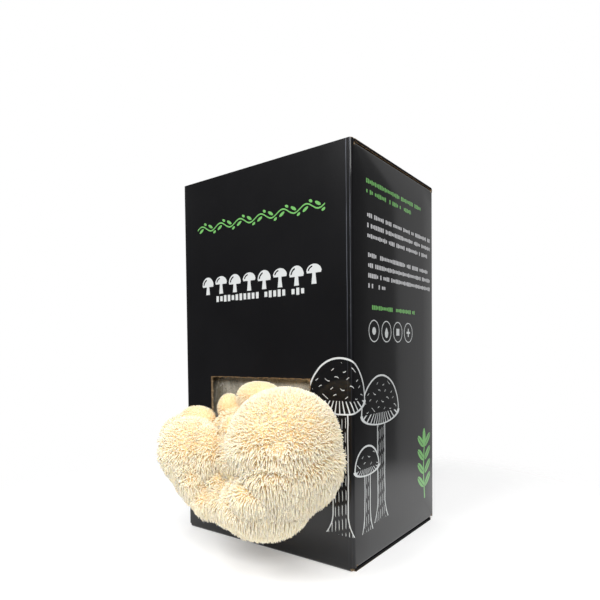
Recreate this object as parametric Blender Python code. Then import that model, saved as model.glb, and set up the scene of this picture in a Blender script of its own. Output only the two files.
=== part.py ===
"""Lion's mane mushroom grow kit: a windowed tuck-top carton with its hinged lid, the film bag and
the mycelium block inside it, and the mushroom that grows out through the window.

Metres, +Z up. The origin is the middle of the carton's underside, and the window faces -Y.
"""

import math
import random

import bmesh
import bpy
from mathutils import Vector
from mathutils.bvhtree import BVHTree

MM = 0.001
GAP = 0.3 * MM  # kept between pieces that touch

# Carton: outside width, depth and height, and the board it is folded from
WIDTH = 151 * MM
DEPTH = 127 * MM
HEIGHT = 267 * MM
BOARD = 1.6 * MM
FOLD_OUTER = 2.1 * MM
FOLD_STEPS = 4
FOLD_ROOM = 2.5 * MM  # straight edge left beside each fold for its bend

# Window in the front panel
WINDOW_LEFT = -47.5 * MM
WINDOW_RIGHT = 43.5 * MM
WINDOW_BOTTOM = 29 * MM
WINDOW_TOP = 119.2 * MM
WINDOW_CORNER = 2.5 * MM

# Flaps
DUST_FLAP = 58 * MM
DUST_NOTCH = 4.4 * MM
DUST_SHOULDER = 7 * MM
DUST_TAPER = 7 * MM
RELIEF = 1.2 * MM
TUCK_FLAP = 16 * MM
TUCK_SIDE = 2.4 * MM
TUCK_TAPER = 4 * MM
TUCK_CORNER = 8 * MM
TUCK_LEAN = 2.2 * MM  # the lid's flap leans in, so it clears the front panel as it swings
GLUE_FLAP = 15 * MM
GLUE_END = 20 * MM

# Bag and block
BAG_WIDTH = 143 * MM
BAG_DEPTH = 119 * MM
BAG_HEIGHT = 194 * MM
BAG_WALL = 0.5 * MM
BAG_CORNER = 9 * MM
BAG_SWELL = 0.8 * MM
FOLD_OVER = 46 * MM  # the bag's top, folded down flat on the block
FOLD_OVER_SHARE = 0.86  # its width as a share of the bag's
FOLD_OVER_BACK = 6 * MM
FOLD_OVER_SUNK = 1.2 * MM
FOLD_OVER_THICK = 1.8 * MM

# Neck of the mushroom, where it leaves the block
NECK_X = 6 * MM
NECK_Z = 74 * MM
NECK_HALF_WIDTH = 33 * MM
NECK_HALF_HEIGHT = 28 * MM

# Lobes of the mushroom out to the spines' tips: middle and half sizes, in millimetres
LOBES = {
    "main": ((51.7, -101, 83.2), (32.9, 36, 34.6)),
    "belly": ((55.4, -101, 70), (26.1, 34.5, 32.1)),
    "right": ((66, -99, 72.6), (19.2, 28, 28.3)),
    "low": ((40.1, -105, 47.7), (28.2, 28, 22.1)),
    "ledge": ((48, -123.5, 57), (16, 14, 14)),
    "low_left": ((7.3, -99, 41.2), (19.9, 15, 18.3)),
    "low_in": ((-9.9, -101, 39.6), (13.6, 13.5, 14)),
    "left": ((-30.4, -99, 69.2), (25.2, 21, 25.6)),
    "left_in": ((-13.2, -101, 68), (14.5, 12, 23.3)),
    "left_mid": ((-25.4, -98, 61.4), (19.7, 20, 27.2)),
    "left_low": ((-19.5, -99, 52.5), (13.5, 18, 22.5)),
    "left_fill": ((-18.7, -101, 48), (14.2, 14.5, 14.6)),
    "crease_fill": ((-1.4, -102, 52.4), (9.7, 8, 10.4)),
    "left_out": ((-46.7, -94, 75.4), (16.4, 16, 19.3)),
    "left_up": ((-38.1, -86, 89.4), (16.5, 10.5, 11.1)),
    "shoulder": ((0.4, -92, 86.8), (6.6, 10, 10.4)),
    "top": ((14, -80, 107.6), (17.5, 12, 11.3)),
    "bud": ((-17, -76, 99), (8.8, 8.5, 10.5)),
}
# Lobes inside the others, which join them to the neck
CORES = {
    "heart": ((18, -88, 70), (32, 18, 22)),
    "throat": ((6, -72, 76), (33, 9, 28)),
    "bud_root": ((-11, -75, 90), (9, 6, 13)),
    "left_up_root": ((-34, -85, 82), (9, 7, 13)),
}
VELVET = {"top": 0.6, "bud": 0.75, "left_up": 0.65}  # lobes whose spines are shorter by this share
SPINE_TOP = 2.6 * MM
SPINE_UNDER = 7.5 * MM
SPINE_PULL = 0.62  # how far a hanging spine turns from its face's direction to straight down
HANG_FROM = 0.75  # upward share of a face's direction below which its spine starts to hang
BARE_BACK = 0.55  # faces that look this far back to the carton have no spines
BARE_NECK = 5 * MM
FACE_COUNT = 1750
REMESH_SIZE = 2.4 * MM

FRONT = -DEPTH / 2
BACK = DEPTH / 2
FRONT_TOP = HEIGHT - 0.5 * MM
DUST_HIGH = HEIGHT - BOARD - GAP  # outer faces of the top and bottom dust flaps
DUST_LOW = BOARD + GAP
HINGE_Z = HEIGHT - FOLD_ROOM
BACK_TOP = HINGE_Z - GAP
BAG_FLOOR = DUST_LOW + BOARD + GAP
BAG_FRONT = -BAG_DEPTH / 2


def start_clean():
    for obj in list(bpy.data.objects):
        bpy.data.objects.remove(obj, do_unlink=True)


def material(name, colour, roughness):
    mat = bpy.data.materials.new(name)
    mat.use_nodes = True
    shader = mat.node_tree.nodes["Principled BSDF"]
    shader.inputs["Base Color"].default_value = (*colour, 1)
    shader.inputs["Roughness"].default_value = roughness
    shader.inputs["Metallic"].default_value = 0
    return mat


def add_object(name, bm, mat=None):
    mesh = bpy.data.meshes.new(name)
    bm.to_mesh(mesh)
    bm.free()
    obj = bpy.data.objects.new(name, mesh)
    bpy.context.collection.objects.link(obj)
    if mat:
        mesh.materials.append(mat)
    return obj


def boolean(obj, tool, operation):
    """Joins a tool to an object or cuts it away, and leaves the tool as a hidden guide."""
    tool.hide_render = True
    tool.display_type = "WIRE"
    change = obj.modifiers.new(tool.name, "BOOLEAN")
    change.object = tool
    change.operation = operation
    change.solver = "EXACT"


def block(low, high):
    bm = bmesh.new()
    bmesh.ops.create_cube(bm, size=1)
    low, high = Vector(low), Vector(high)
    for vert in bm.verts:
        vert.co = (low + high) / 2 + vert.co * (high - low)
    return bm


def edges_along(bm, axis):
    return [e for e in bm.edges
            if abs((e.verts[0].co - e.verts[1].co).normalized()[axis]) > 0.99]


def bevelled(bm, edges, width, segments):
    bmesh.ops.bevel(bm, geom=edges, offset=width, segments=segments, affect="EDGES", profile=0.5)
    return bm


def folded_sheet(name, panels, mat):
    """Board panels that share corners, rounded at each fold and thickened inwards.

    A panel is the outline of its outer face, and the first panel's face looks along -Y.
    """
    bm = bmesh.new()
    for outline in panels:
        bm.faces.new([bm.verts.new(corner) for corner in outline])
    bmesh.ops.remove_doubles(bm, verts=bm.verts, dist=GAP / 10)
    bmesh.ops.recalc_face_normals(bm, faces=bm.faces)
    bm.faces.ensure_lookup_table()
    if bm.faces[0].normal.y > 0:
        bmesh.ops.reverse_faces(bm, faces=bm.faces)
    folds = [e for e in bm.edges if not e.is_boundary]
    bevelled(bm, folds, FOLD_OUTER, FOLD_STEPS)
    obj = add_object(name, bm, mat)
    thicken = obj.modifiers.new("board", "SOLIDIFY")
    thicken.thickness = BOARD
    thicken.offset = -1
    thicken.use_even_offset = True
    return obj


def both_sides(right_half):
    """An outline whose right half is given bottom to top, closed by its mirror image."""
    return right_half + [(-x, y, z) for x, y, z in reversed(right_half)]


def tuck_flap(fold_y, end_y, fold_z, end_z, half_width):
    """A flap from its fold to its free end, which narrows and has round corners."""
    end = half_width - TUCK_TAPER
    outline = [(half_width, fold_y, fold_z)]
    for step in range(5):
        turn = math.radians(90 * step / 4)
        x = end - TUCK_CORNER * (1 - math.cos(turn))
        share = 1 - TUCK_CORNER * (1 - math.sin(turn)) / abs(end_z - fold_z)
        outline.append((x, fold_y + (end_y - fold_y) * share, fold_z + (end_z - fold_z) * share))
    return both_sides(outline)


def side_wall(side):
    """The panel at +X or -X, with a tab at each corner and a relief slit at each end of a fold."""
    x = side * WIDTH / 2
    slit = [(FRONT + DUST_NOTCH - RELIEF, FRONT + DUST_NOTCH),
            (BACK - DUST_NOTCH, BACK - DUST_NOTCH + RELIEF)]
    low, high = DUST_LOW + FOLD_ROOM, DUST_HIGH - FOLD_ROOM
    return [
        (x, FRONT, FOLD_ROOM), (x, slit[0][0], FOLD_ROOM), (x, slit[0][0], low),
        (x, slit[0][1], low), (x, slit[0][1], DUST_LOW), (x, slit[1][0], DUST_LOW),
        (x, slit[1][0], low), (x, slit[1][1], low), (x, slit[1][1], FOLD_ROOM),
        (x, BACK, FOLD_ROOM), (x, BACK, BACK_TOP), (x, slit[1][1], BACK_TOP),
        (x, slit[1][1], high), (x, slit[1][0], high), (x, slit[1][0], DUST_HIGH),
        (x, slit[0][1], DUST_HIGH), (x, slit[0][1], high), (x, slit[0][0], high),
        (x, slit[0][0], FRONT_TOP), (x, FRONT, FRONT_TOP),
    ]


def dust_flap(side, z):
    near, far = FRONT + DUST_NOTCH, BACK - DUST_NOTCH
    root, neck, tip = WIDTH / 2, WIDTH / 2 - DUST_SHOULDER, WIDTH / 2 - DUST_FLAP
    inset = DUST_SHOULDER + DUST_TAPER
    return [(side * x, y, z) for x, y in (
        (root, near), (neck, near + DUST_SHOULDER / 2), (tip, near + inset),
        (tip, far - inset), (neck, far - DUST_SHOULDER / 2), (root, far))]


def make_carton(mat):
    half = WIDTH / 2
    end = half - FOLD_ROOM  # where the front and back panels' own folds end
    edge = half - GAP
    side = edge - TUCK_SIDE
    tuck_y = BACK - BOARD - GAP
    room = 1.2 * FOLD_ROOM
    carton = folded_sheet("carton", [
        both_sides([(end, FRONT, 0), (end, FRONT, FOLD_ROOM), (half, FRONT, FOLD_ROOM),
                    (half, FRONT, FRONT_TOP)]),
        side_wall(1),
        side_wall(-1),
        both_sides([(end, BACK, GAP), (end, BACK, FOLD_ROOM), (half, BACK, FOLD_ROOM),
                    (half, BACK, BACK_TOP)]),
        both_sides([(end, FRONT, 0), (end, FRONT + room, 0), (edge, FRONT + room, 0),
                    (edge, tuck_y - room, 0), (side, tuck_y - room, 0), (side, tuck_y, 0)]),
        tuck_flap(tuck_y, tuck_y, 0, TUCK_FLAP, side),
        dust_flap(1, DUST_HIGH), dust_flap(-1, DUST_HIGH),
        dust_flap(1, DUST_LOW), dust_flap(-1, DUST_LOW),
    ], mat)

    inner_back = BACK - BOARD
    glue = block((-half + BOARD / 2, inner_back - BOARD, GLUE_END),
                 (-half + BOARD + GLUE_FLAP, inner_back + BOARD / 2, HEIGHT - GLUE_END))
    boolean(carton, add_object("glue_flap", glue), "UNION")

    window = block((WINDOW_LEFT, FRONT - BOARD, WINDOW_BOTTOM),
                   (WINDOW_RIGHT, FRONT + 2 * BOARD, WINDOW_TOP))
    bevelled(window, edges_along(window, 1), WINDOW_CORNER, 3)
    boolean(carton, add_object("window", window), "DIFFERENCE")
    return carton


def make_lid(mat):
    """The tuck-top panel, its origin on the crease along the back."""
    edge = WIDTH / 2 - GAP
    side = edge - TUCK_SIDE
    fold_y = FRONT + BOARD + GAP
    room = 1.2 * FOLD_ROOM
    lid = folded_sheet("lid", [
        tuck_flap(fold_y, fold_y + TUCK_LEAN, HEIGHT, HEIGHT - TUCK_FLAP, side),
        both_sides([(side, fold_y, HEIGHT), (side, fold_y + room, HEIGHT),
                    (edge, fold_y + room, HEIGHT), (edge, BACK, HEIGHT)]),
        both_sides([(edge, BACK, HINGE_Z), (edge, BACK, HEIGHT)]),
    ], mat)
    hinge = Vector((0, BACK, HINGE_Z))
    for vert in lid.data.vertices:
        vert.co -= hinge
    lid.location = hinge
    return lid


def neck_cutter(name, front, back, extra, sides=40):
    """A straight oval bar from front to back along the neck, wider than it by extra."""
    bm = bmesh.new()
    bmesh.ops.create_cone(bm, cap_ends=True, segments=sides, radius1=1, radius2=1, depth=1)
    for vert in bm.verts:
        x, y, z = vert.co
        vert.co = (NECK_X + x * (NECK_HALF_WIDTH + extra),
                   (front + back) / 2 + z * (back - front),
                   NECK_Z - y * (NECK_HALF_HEIGHT + extra))
    return add_object(name, bm)


def pillow(low, high):
    """A box with round edges whose faces swell a little, as a filled bag's do."""
    bm = block(low, high)
    bevelled(bm, bm.edges[:], BAG_CORNER, 3)
    bmesh.ops.triangulate(bm, faces=[f for f in bm.faces if len(f.verts) > 4])
    long_edges = [e for e in bm.edges if e.calc_length() > 20 * MM]
    bmesh.ops.subdivide_edges(bm, edges=long_edges, cuts=3, use_grid_fill=True)
    centre = (Vector(low) + Vector(high)) / 2
    size = Vector(high) - Vector(low)
    for vert in bm.verts:
        rel = Vector([(vert.co[i] - centre[i]) / size[i] for i in range(3)])
        for i in range(3):
            others = [1 - 4 * rel[k] ** 2 for k in range(3) if k != i]
            vert.co[i] -= BAG_SWELL * (1 - max(others[0] * others[1], 0)) * 2 * rel[i]
    return bm


def make_bag(mat):
    half = BAG_WIDTH / 2
    top = BAG_FLOOR + BAG_HEIGHT
    outside = pillow((-half, BAG_FRONT, BAG_FLOOR), (half, -BAG_FRONT, top))
    bag = add_object("grow_bag", outside, mat)
    fold_end = -BAG_FRONT - FOLD_OVER_BACK
    fold = block((-half * FOLD_OVER_SHARE, fold_end - FOLD_OVER, top - FOLD_OVER_SUNK),
                 (half * FOLD_OVER_SHARE, fold_end, top + FOLD_OVER_THICK))
    bevelled(fold, edges_along(fold, 0), FOLD_OVER_THICK / 2, 2)
    boolean(bag, add_object("folded_top", fold), "UNION")
    inside = pillow((-half + BAG_WALL, BAG_FRONT + BAG_WALL, BAG_FLOOR + BAG_WALL),
                    (half - BAG_WALL, -BAG_FRONT - BAG_WALL, top - BAG_WALL))
    boolean(bag, add_object("bag_inside", inside), "DIFFERENCE")
    slit = neck_cutter("bag_slit", BAG_FRONT - BAG_CORNER, BAG_FRONT + BAG_CORNER, GAP)
    boolean(bag, slit, "DIFFERENCE")
    return bag


def block_front():
    return BAG_FRONT + BAG_WALL + 2 * GAP


def make_block(mat):
    inset = BAG_WALL + 2 * GAP
    half = BAG_WIDTH / 2 - inset
    top = BAG_FLOOR + BAG_HEIGHT - inset
    bm = pillow((-half, block_front(), BAG_FLOOR + inset), (half, -block_front(), top))
    return add_object("substrate_block", bm, mat)


def lobe_blobs():
    """The lobes without their spines, as one mesh of overlapping balls."""
    bm = bmesh.new()
    for name, (middle, half) in LOBES.items():
        keep = 1 - VELVET.get(name, 0)
        rise = keep * (SPINE_UNDER - SPINE_TOP) / 2
        cover = keep * Vector((SPINE_TOP, SPINE_TOP, (SPINE_TOP + SPINE_UNDER) / 2))
        add_ball(bm, Vector(middle) * MM + Vector((0, 0, rise)), Vector(half) * MM - cover)
    for middle, half in CORES.values():
        add_ball(bm, Vector(middle) * MM, Vector(half) * MM)
    return bm


def add_ball(bm, centre, radii):
    made = bmesh.ops.create_icosphere(bm, subdivisions=4, radius=1)
    for vert in made["verts"]:
        vert.co = centre + Vector(a * b for a, b in zip(vert.co, radii))


def evaluated(obj):
    """A bmesh of the object with its modifiers applied."""
    depsgraph = bpy.context.evaluated_depsgraph_get()
    bm = bmesh.new()
    bm.from_object(obj, depsgraph)
    return bm


def make_body():
    """The mushroom's smooth body: lobes fused into one skin, with soft creases between them."""
    body = add_object("body", lobe_blobs())
    fuse = body.modifiers.new("fuse", "REMESH")
    fuse.mode = "VOXEL"
    fuse.voxel_size = REMESH_SIZE
    relax = body.modifiers.new("relax", "SMOOTH")
    relax.factor = 0.5
    relax.iterations = 4
    bm = evaluated(body)
    bpy.data.objects.remove(body, do_unlink=True)
    faces = sum(len(f.verts) - 2 for f in bm.faces)
    body = add_object("body", bm)
    thin = body.modifiers.new("thin", "DECIMATE")
    thin.ratio = FACE_COUNT / faces
    return body


def spine(normal):
    """A spine's direction and length: hanging on the sides and underneath, short on the top."""
    hang = min(max(HANG_FROM - normal.z, 0), 1)
    pull = SPINE_PULL * hang
    toward = (normal * (1 - pull) + Vector((0, 0, -1)) * pull).normalized()
    return toward, SPINE_TOP + (SPINE_UNDER - SPINE_TOP) * hang


def velvet(point):
    """How much shorter the spines are on the lobe that a point belongs to."""
    def away(name):
        middle, half = LOBES[name]
        return Vector([(a / MM - b) / c for a, b, c in zip(point, middle, half)]).length
    return VELVET.get(min(LOBES, key=away), 0)


def make_mushroom(mat):
    body = make_body()
    stalk = neck_cutter("stalk", FRONT - 24 * MM, block_front() - GAP, 0)
    boolean(body, stalk, "UNION")
    bm = evaluated(body)
    for guide in (body, stalk):
        bpy.data.objects.remove(guide, do_unlink=True)
    bmesh.ops.triangulate(bm, faces=bm.faces)
    bm.normal_update()
    tree = BVHTree.FromBMesh(bm)
    draw = random.Random(7)
    outer = [f for f in bm.faces
             if f.normal.y < BARE_BACK and f.calc_center_median().y < FRONT - BARE_NECK]
    for face in outer:
        centre = face.calc_center_median()
        toward, length = spine(face.normal)
        length *= 1 - velvet(centre)
        clear = tree.ray_cast(centre + toward * GAP, toward, 3 * length)[3]
        if clear:
            length = min(length, 0.4 * clear)
        tip = bmesh.ops.poke(bm, faces=[face])["verts"][0]
        tip.co = centre + toward * length * draw.uniform(0.8, 1.0)
    return add_object("mushroom", bm, mat)


def main():
    start_clean()
    board_black = material("black_board", (0.018, 0.018, 0.021), 0.42)
    make_carton(board_black)
    make_lid(board_black.copy())
    make_bag(material("clear_film", (0.62, 0.63, 0.62), 0.18))
    make_block(material("mycelium", (0.78, 0.74, 0.66), 0.85))
    make_mushroom(material("cream_flesh", (0.92, 0.82, 0.62), 0.8))


main()
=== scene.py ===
# Lion's mane grow kit, dressed: the printed carton and its lid, the film bag and the mycelium
# block behind the window, and the mushroom that has grown out through it.
import math
import random

import bmesh
import bpy
import numpy as np
from mathutils import Matrix, Vector, noise
from mathutils.bvhtree import BVHTree


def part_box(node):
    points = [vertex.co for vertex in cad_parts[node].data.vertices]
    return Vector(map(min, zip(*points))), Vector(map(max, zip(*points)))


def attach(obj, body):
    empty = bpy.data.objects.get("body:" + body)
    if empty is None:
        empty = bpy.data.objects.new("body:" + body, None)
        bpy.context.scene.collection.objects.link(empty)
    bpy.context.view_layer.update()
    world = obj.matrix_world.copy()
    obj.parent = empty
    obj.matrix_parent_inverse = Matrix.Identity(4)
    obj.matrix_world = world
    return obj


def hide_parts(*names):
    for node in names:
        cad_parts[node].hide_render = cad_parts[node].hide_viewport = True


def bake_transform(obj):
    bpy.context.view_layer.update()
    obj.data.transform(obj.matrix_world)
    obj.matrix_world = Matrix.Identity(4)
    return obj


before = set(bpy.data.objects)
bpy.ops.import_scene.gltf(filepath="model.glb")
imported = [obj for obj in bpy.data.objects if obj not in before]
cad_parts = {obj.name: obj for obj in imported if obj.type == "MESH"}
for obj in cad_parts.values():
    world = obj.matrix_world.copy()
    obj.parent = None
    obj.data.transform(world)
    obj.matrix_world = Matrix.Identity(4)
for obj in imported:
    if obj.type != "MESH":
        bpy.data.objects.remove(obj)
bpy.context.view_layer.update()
mm = 0.001


class Wire:
    # a socket of a material: sums written with it become Math nodes
    def __init__(self, sheet, socket):
        self.sheet = sheet
        self.socket = socket

    def maths(self, operation, first, *rest):
        return self.sheet.node("Math", {"operation": operation}, dict(enumerate((first, *rest))))

    def __add__(self, other):
        return self.maths("ADD", self, other)

    def __sub__(self, other):
        return self.maths("SUBTRACT", self, other)

    def __rsub__(self, other):
        return self.maths("SUBTRACT", other, self)

    def __mul__(self, other):
        return self.maths("MULTIPLY", self, other)

    def __truediv__(self, other):
        return self.maths("DIVIDE", self, other)

    def __pow__(self, other):
        return self.maths("POWER", self, other)

    def __lt__(self, other):
        return self.maths("LESS_THAN", self, other)

    def __gt__(self, other):
        return self.maths("GREATER_THAN", self, other)

    def __abs__(self):
        return self.maths("ABSOLUTE", self)

    def floor(self):
        return self.maths("FLOOR", self)

    def least(self, other):
        return self.maths("MINIMUM", self, other)

    def most(self, other):
        return self.maths("MAXIMUM", self, other)

    def ramp(self, low, high, start=0.0, end=1.0):
        # a smooth change from start to end as the value goes from low to high
        return self.sheet.node("MapRange", {"interpolation_type": "SMOOTHSTEP"},
                               {0: self, 1: low, 2: high, 3: start, 4: end})

    __radd__ = __add__
    __rmul__ = __mul__


class Sheet:
    # one material and its node tree
    def __init__(self, name):
        self.material = bpy.data.materials.new(name)
        self.material.use_nodes = True
        self.tree = self.material.node_tree
        self.tree.nodes.clear()

    def node(self, kind, settings=None, sockets=None, out=0):
        made = self.tree.nodes.new("ShaderNode" + kind)
        for name, value in (settings or {}).items():
            if name == "stops":
                setStops(made.color_ramp.elements, value)
            else:
                setattr(made, name, value)
        for key, value in (sockets or {}).items():
            if isinstance(value, Wire):
                self.tree.links.new(value.socket, made.inputs[key])
            else:
                made.inputs[key].default_value = value
        return Wire(self, made.outputs[out]) if made.outputs else None

    def place(self):
        # the three Object coordinates, in millimetres
        point = self.node("TexCoord", out="Object")
        parts = self.node("SeparateXYZ", {}, {0: point})
        names = parts.socket.node.outputs
        return [Wire(self, names[axis]) * 1000 for axis in "XYZ"]

    def grain(self, size, detail=2.0, roughness=0.5, stretch=(1, 1, 1), kind="Object"):
        # noise whose lumps are about size millimetres across
        point = self.node("TexCoord", out=kind)
        scaled = self.node("Mapping", {}, {"Vector": point, "Scale": [v * 1000 / size for v in stretch]})
        return self.node("TexNoise", {}, {"Vector": scaled, "Scale": 1.0, "Detail": detail,
                                          "Roughness": roughness})

    def mix(self, share, first, second):
        return self.node("Mix", {"data_type": "RGBA"}, {0: share, 6: first, 7: second}, out=2)

    def bump(self, height, distance, strength=1.0):
        return self.node("Bump", {}, {"Height": height, "Distance": distance, "Strength": strength})

    def shade(self, **sockets):
        # the finished shader: a name's underscores stand for the spaces in a socket's name
        named = {key.replace("_", " "): value for key, value in sockets.items()}
        shader = self.node("BsdfPrincipled", {}, named)
        self.node("OutputMaterial", {}, {"Surface": shader})
        return self.material


def setStops(elements, stops):
    while len(elements) < len(stops):
        elements.new(1.0)
    for element, (position, colour) in zip(elements, stops):
        element.position = position
        element.color = colour


def tint(red, green, blue):
    # a colour as seen on a screen, 0 to 255, turned into the values that light uses
    def linear(value):
        value = value / 255
        return value / 12.92 if value <= 0.04045 else ((value + 0.055) / 1.055) ** 2.4
    return (linear(red), linear(green), linear(blue), 1.0)


def newObject(name, mesh, materials):
    obj = bpy.data.objects.new(name, mesh)
    bpy.context.scene.collection.objects.link(obj)
    for material in materials:
        mesh.materials.append(material)
    return obj


def objectFrom(name, bm, materials=(), smooth=30):
    mesh = bpy.data.meshes.new(name)
    bm.to_mesh(mesh)
    bm.free()
    mesh.shade_smooth()
    mesh.set_sharp_from_angle(angle=math.radians(smooth))
    return newObject(name, mesh, materials)


def applied(obj, smooth=30):
    # the object with its modifiers turned into plain mesh
    view = bpy.context.evaluated_depsgraph_get()
    mesh = bpy.data.meshes.new_from_object(obj.evaluated_get(view))
    mesh.set_sharp_from_angle(angle=math.radians(smooth))
    obj.modifiers.clear()
    obj.data = mesh
    return obj


def finishPiece(obj, body, slot, *nodes):
    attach(obj, body)
    if nodes:
        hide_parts(*nodes)
    faces = sum(len(p.vertices) - 2 for p in obj.data.polygons)
    print(f"{obj.name}: {faces} triangles")


# The carton's sizes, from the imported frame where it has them
cartonLow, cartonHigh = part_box("carton")
lidLow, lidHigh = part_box("lid")
box = {
    "half": cartonHigh.x, "front": cartonLow.y, "back": cartonHigh.y,
    "top": lidHigh.z, "frontTop": cartonHigh.z,
    "board": 1.6 * mm, "gap": 0.3 * mm,
    "foldOuter": 2.1 * mm, "foldSteps": 5, "foldRoom": 2.5 * mm,
    "dustFlap": 58 * mm, "dustNotch": 4.4 * mm, "dustShoulder": 7 * mm, "dustTaper": 7 * mm,
    "relief": 1.2 * mm,
    "tuckFlap": 16 * mm, "tuckSide": 2.4 * mm, "tuckTaper": 4 * mm, "tuckCorner": 8 * mm,
    "tuckLean": 2.2 * mm, "tuckSteps": 8,
    "glueFlap": 15 * mm, "glueEnd": 20 * mm,
    "bow": 0.35 * mm,      # how far the middle of a panel swells out
    "bowStep": 21 * mm,    # spacing of the cuts that let a panel bow
    "bowEnd": 0.94,        # share of the half height past which a panel is flat
    "lidClear": 0.08 * mm,  # keeps the folded-back lid off the back panel
}
box["dustHigh"] = box["top"] - box["board"] - box["gap"]
box["dustLow"] = box["board"] + box["gap"]
box["hinge"] = box["top"] - box["foldRoom"]
box["backTop"] = box["hinge"] - box["gap"]

window = {
    "left": -47.5, "right": 43.5, "bottom": 29.0, "top": 119.2,  # millimetres
    "corner": 2.5,
    "step": 0.55,          # spacing of the points along the torn edge
    "nubEvery": 5.2, "nubLong": 0.55, "nubHigh": 0.5,
    "ragged": 0.16,
    "torn": 0.75,          # width of the bare fibre round it
}

# Places of the prints, in millimetres on the panels
prints = {
    "vineMiddle": 230.0, "vineLeft": -60.0, "vineRight": 56.4, "vineWave": 2.1, "vineLength": 19.4,
    "vineLine": 0.5, "leafLong": 2.5, "leafWide": 1.0,
    "capsMiddle": 187.0, "capsLeft": -56.6, "capsRight": 54.4, "capsEach": 13.875,
    "dashesMiddle": 176.8, "dashEach": 3.9, "dashes": ((-41.5, 0.7), (5.3, 25.4), (28.8, 41.0)),
    "lineEach": 6.5, "lineHigh": 1.45, "letterEach": 2.3,
    "rings": 4, "ringFirst": -36.2, "ringEach": 17.4, "ringMiddle": 150.2, "ringRadius": 6.9,
    "ringLine": 0.34,
    "sprigMiddle": 44.8, "sprigLow": 21.0, "sprigHigh": 76.4, "sprigEach": 10.5,
}
# Blocks of plain lines on the side: start, ends of the full rows and of the last, top row, rows
lineBlocks = {
    "green": ((-45.6, 40.0, 22.0, 245.2, 2), (-41.4, 28.5, 28.5, 165.4, 1)),
    "grey": ((-44.6, 57.6, 53.5, 223.8, 3), (-43.8, 57.0, -20.0, 198.6, 4)),
}
# Drawn mushrooms that wrap the near corner: middle along the unrolled panels, cap's rim height,
# half width, height of the dome, foot of the stem and half its width
drawnCaps = (
    (112.0, 96.0, 26.0, 25.0, 24.0, 5.2),
    (66.0, 106.0, 24.0, 27.0, 22.0, 5.6),
    (93.0, 62.0, 15.5, 14.5, 21.0, 3.6),
)
folds = {
    "creases": (71.9, 74.5),   # places of the painted highlights up the near fold, along the unrolled front and side, in millimetres
    "rimLine": 0.3,            # bare fibre along the rims at the sides
}
inkWhite = tint(204, 207, 207)
inkGreen = tint(112, 176, 98)
inkGrey = tint(200, 200, 202)
kraft = tint(150, 124, 92)
kraftDark = tint(84, 66, 46)
laminateBlack = tint(13, 13, 15)


def wave(value, period):
    # sine of a length along the panel
    return value.maths("SINE", value * (2 * math.pi / period))


def cell(value, start, period):
    # place inside its cell, from the cell's middle, and the cell's number
    count = (value - start) / period
    number = count.floor()
    return (count - number - 0.5) * period, number


def within(value, low, high):
    return (value > low) * (value < high)


def oval(across, up, halfWidth, halfHeight):
    # below 1 inside the oval
    a = across / halfWidth
    b = up / halfHeight
    return (a * a + b * b) ** 0.5


def turned(across, up, degrees):
    c, s = math.cos(math.radians(degrees)), math.sin(math.radians(degrees))
    return across * c + up * s, up * c - across * s


def vineMask(x, z):
    p = prints
    up = z - p["vineMiddle"]
    line = abs(up - p["vineWave"] * wave(x - p["vineLeft"], p["vineLength"])) < p["vineLine"]
    across, number = cell(x, p["vineLeft"], p["vineLength"] / 2)
    side = 1 - 2 * number.maths("FLOORED_MODULO", number, 2.0)
    a, b = turned(across + 0.6, up * side + 1.1, 32)
    leaf = oval(a, b, p["leafLong"], p["leafWide"]) < 1
    a, b = turned(across - 3.6, up * side - 3.4, -28)
    bud = oval(a, b, p["leafLong"] * 0.62, p["leafWide"] * 0.9) < 1
    return line.most(leaf).most(bud) * within(x, p["vineLeft"], p["vineRight"])


def capsMask(x, z):
    # a band of plain mushrooms, tall ones and flat ones in turn
    p = prints
    up = z - p["capsMiddle"]
    across, number = cell(x, p["capsLeft"], p["capsEach"])
    flat = number.maths("FLOORED_MODULO", number, 2.0)
    rim = 0.3 + 1.2 * flat
    dome = (oval(across, up - rim, 5.9, 6.2 - 1.4 * flat) < 1) * (up > rim)
    lip = (abs(up - rim + 0.2) < 0.75) * (abs(across) < 5.6)
    stem = (abs(across) < 1.35 + (0.0 - up - 1.0).most(0.0) * 0.12) * within(up, -6.5, rim)
    shine = (abs(oval(across, up - rim, 4.4, 4.5 - flat) - 1) < 0.13) * (across < -1.2)
    return ((dome * (1 - shine)).most(lip).most(stem) * within(x, p["capsLeft"], p["capsRight"])
            * (abs(up) < 6.9))


def dashMask(x, z):
    p = prints
    across, number = cell(x, p["dashes"][0][0], p["dashEach"])
    noisy = number.sheet.node("TexWhiteNoise", {"noise_dimensions": "1D"}, {"W": number})
    tall = 1.7 + 0.75 * noisy
    stroke = (abs(across) < 1.25) * (abs(z - p["dashesMiddle"]) < tall)
    groups = within(x, *p["dashes"][0])
    for ends in p["dashes"][1:]:
        groups = groups.most(within(x, *ends))
    return stroke * groups


def lineMask(y, z, start, full, last, top, rows):
    # rows of plain blocks, with gaps as between words
    p = prints
    down, row = cell(top + p["lineEach"] / 2 - z, 0.0, p["lineEach"])
    across, number = cell(y, start, p["letterEach"])
    seed = number + row * 57.0 + top
    noisy = seed.sheet.node("TexWhiteNoise", {"noise_dimensions": "1D"}, {"W": seed})
    end = full + (last - full) * (row > rows - 1.5)
    blocks = ((noisy > 0.17) * (abs(across) < 0.86)
              * (abs(down) < p["lineHigh"] * (0.72 + 0.28 * (noisy > 0.6))))
    return blocks * within(y, start, end) * within(row, -0.5, rows - 0.5)


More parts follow.
